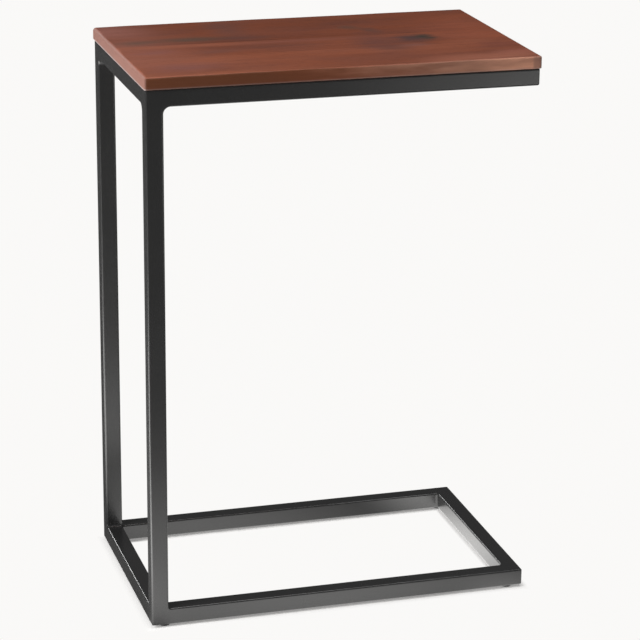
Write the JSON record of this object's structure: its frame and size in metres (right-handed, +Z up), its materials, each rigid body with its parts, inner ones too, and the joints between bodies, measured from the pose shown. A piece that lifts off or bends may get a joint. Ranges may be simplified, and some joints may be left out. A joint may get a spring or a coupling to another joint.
{
  "type": "c shaped side table",
  "caption": "C-shaped side table: a rectangular solid wood top on a black square-tube frame, open on one side, on low levelling feet.",
  "frame": {"origin": "on the floor, under the middle of the table's bounding box, with all four feet wound right in", "axes": "+X out of the open mouth of the C, away from the posts; +Y to the back, across the table's short side; +Z up"},
  "size_m": [0.438, 0.267, 0.622],
  "materials": {
    "stained_wood": "reddish brown stained hardwood, satin lacquer",
    "black_powder_coat": "black satin powder coat on steel tube",
    "zinc_plated_steel": "bright zinc plate",
    "black_nylon": "moulded black nylon"
  },
  "bodies": {
    "frame": {"top_board_front": "stained_wood", "top_board_middle": "stained_wood", "top_board_back": "stained_wood", "top_ring_front_rail": "black_powder_coat", "top_ring_back_rail": "black_powder_coat", "top_ring_left_rail": "black_powder_coat", "top_ring_right_rail": "black_powder_coat", "top_ring_welds": "black_powder_coat", "base_ring_front_rail": "black_powder_coat", "base_ring_back_rail": "black_powder_coat", "base_ring_left_rail": "black_powder_coat", "base_ring_right_rail": "black_powder_coat", "base_ring_welds": "black_powder_coat", "post_front": "black_powder_coat", "post_back": "black_powder_coat", "post_welds_top": "black_powder_coat", "post_welds_base": "black_powder_coat", "top_tab_welds": "black_powder_coat", "top_tab_front_left": "black_powder_coat", "top_tab_front_right": "black_powder_coat", "top_tab_back_left": "black_powder_coat", "top_tab_back_right": "black_powder_coat", "top_screws": "zinc_plated_steel", "top_screw_washers": "zinc_plated_steel", "foot_rivet_nuts": "zinc_plated_steel"},
    "foot_front_left": {"foot_pad_front_left": "black_nylon", "foot_stud_front_left": "zinc_plated_steel"},
    "foot_front_right": {"foot_pad_front_right": "black_nylon", "foot_stud_front_right": "zinc_plated_steel"},
    "foot_back_left": {"foot_pad_back_left": "black_nylon", "foot_stud_back_left": "zinc_plated_steel"},
    "foot_back_right": {"foot_pad_back_right": "black_nylon", "foot_stud_back_right": "zinc_plated_steel"}
  },
  "joints": [
    {"name": "foot_front_left_height", "type": "slide", "parent": "frame", "child": "foot_front_left", "axis": [0, 0, -1], "range_m": [0, 0.005]},
    {"name": "foot_front_right_height", "type": "slide", "parent": "frame", "child": "foot_front_right", "axis": [0, 0, -1], "range_m": [0, 0.005]},
    {"name": "foot_back_left_height", "type": "slide", "parent": "frame", "child": "foot_back_left", "axis": [0, 0, -1], "range_m": [0, 0.005]},
    {"name": "foot_back_right_height", "type": "slide", "parent": "frame", "child": "foot_back_right", "axis": [0, 0, -1], "range_m": [0, 0.005]}
  ]
}
